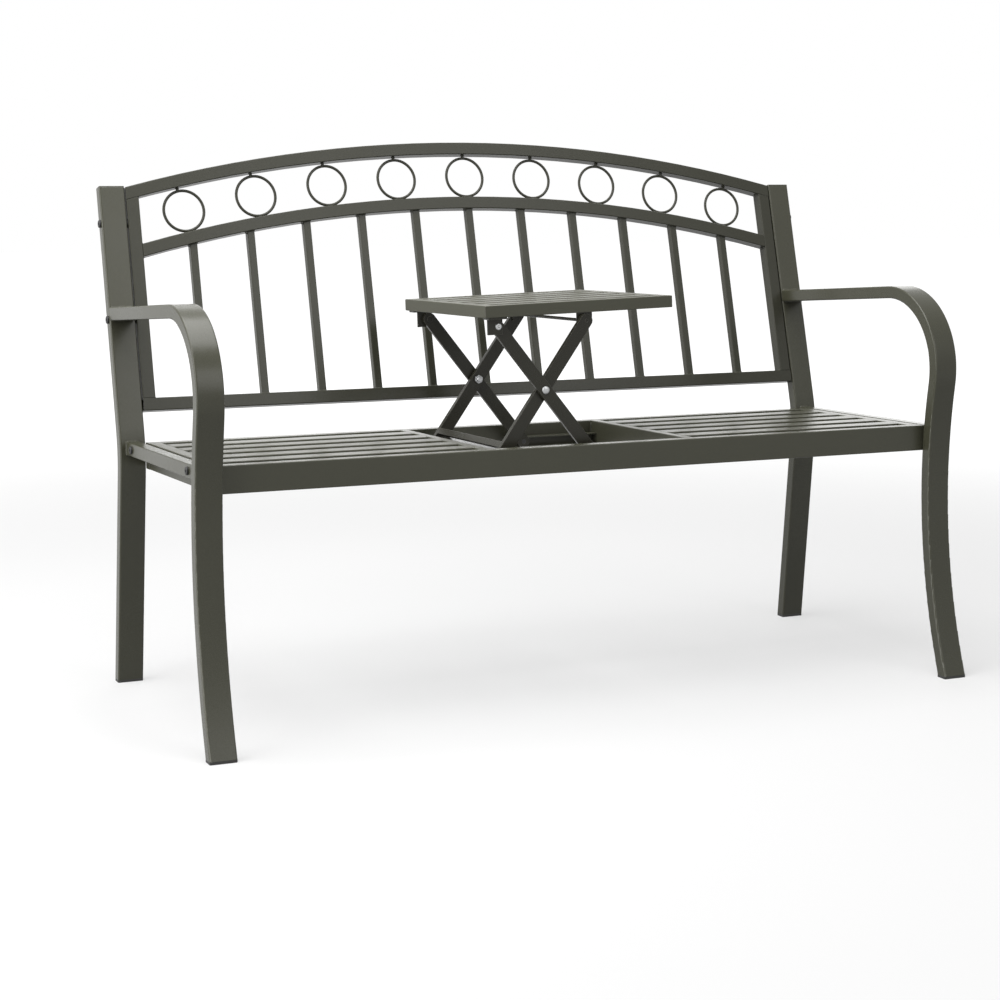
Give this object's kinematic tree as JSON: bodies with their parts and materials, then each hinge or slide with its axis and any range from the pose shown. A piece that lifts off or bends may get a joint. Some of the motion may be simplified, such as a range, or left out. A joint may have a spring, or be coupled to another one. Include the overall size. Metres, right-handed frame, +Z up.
{
  "type": "companion seat bench",
  "caption": "Two-place metal garden bench with slatted seats, curved barred backrest with ring detail, and a small centre table on scissor arms that folds flush into the seat.",
  "frame": {"origin": "on the ground under the middle of the bench's footprint box", "axes": "+X along the bench towards its right end as seen from the front, +Y towards the backrest, +Z up"},
  "size_m": [1.256, 0.6047, 0.8392],
  "materials": {
    "powder_coat": "satin",
    "black_plastic": "matte",
    "black_steel": "satin",
    "bright_steel": "satin"
  },
  "bodies": {
    "frame": {"backrest_bars": "powder_coat", "backrest_bolts": "black_steel", "backrest_bottom_rail": "powder_coat", "backrest_left_upright": "powder_coat", "backrest_lower_arch": "powder_coat", "backrest_right_upright": "powder_coat", "backrest_rings": "powder_coat", "backrest_top_arch": "powder_coat", "foot_plugs": "black_plastic", "frame_nuts": "black_steel", "frame_spacers": "black_steel", "left_armrest_leg": "powder_coat", "left_rear_post": "powder_coat", "left_side_rail": "powder_coat", "post_caps": "powder_coat", "right_armrest_leg": "powder_coat", "right_rear_post": "powder_coat", "right_side_rail": "powder_coat", "seat_back_rail": "powder_coat", "seat_bolts": "black_steel", "seat_front_rail": "powder_coat", "seat_left_end_rail": "powder_coat", "seat_left_inner_rail": "powder_coat", "seat_left_slat_1": "powder_coat", "seat_left_slat_2": "powder_coat", "seat_left_slat_3": "powder_coat", "seat_left_slat_4": "powder_coat", "seat_left_slat_5": "powder_coat", "seat_right_end_rail": "powder_coat", "seat_right_inner_rail": "powder_coat", "seat_right_slat_1": "powder_coat", "seat_right_slat_2": "powder_coat", "seat_right_slat_3": "powder_coat", "seat_right_slat_4": "powder_coat", "seat_right_slat_5": "powder_coat", "well_front_track": "powder_coat", "well_pivot_brackets": "powder_coat", "well_pivot_pins": "bright_steel", "well_rear_track": "powder_coat"},
    "inner_arms": {"inner_arm_front": "powder_coat", "inner_arm_rear": "powder_coat", "inner_cross_bar": "powder_coat", "inner_foot_plate": "powder_coat", "top_rod": "bright_steel", "middle_pivot_pins": "bright_steel", "middle_pivot_nuts": "bright_steel"},
    "outer_arms": {"outer_arm_front": "powder_coat", "outer_arm_rear": "powder_coat", "slider_pins": "bright_steel"},
    "tabletop": {"table_brackets": "powder_coat", "table_catches": "powder_coat", "table_front_apron": "powder_coat", "table_front_catch_rail": "powder_coat", "table_hinge_pins": "bright_steel", "table_left_apron": "powder_coat", "table_rear_apron": "powder_coat", "table_rear_catch_rail": "powder_coat", "table_right_apron": "powder_coat", "table_slats": "powder_coat"}
  },
  "joints": [
    {"name": "table_fold", "type": "hinge", "parent": "frame", "child": "inner_arms", "pos_m": [-0.1405, -0.0439, 0.35972], "axis": [0, 0.9992, -0.0401], "range_deg": [0, 54.2]},
    {"name": "scissor_cross", "type": "hinge", "parent": "inner_arms", "child": "outer_arms", "pos_m": [-0.06174, -0.03948, 0.46964], "axis": [0, 0.9992, -0.0401], "range_deg": [-105.21, 0]},
    {"name": "table_hinge", "type": "hinge", "parent": "outer_arms", "child": "tabletop", "pos_m": [-0.14007, -0.03557, 0.56698], "axis": [0, 0.9992, -0.0401], "range_deg": [0, 52.61]}
  ],
  "couplings": [
    {"joint": "scissor_cross", "follows": "table_fold", "ratio": -1.9409},
    {"joint": "table_hinge", "follows": "table_fold", "ratio": 0.97047}
  ]
}
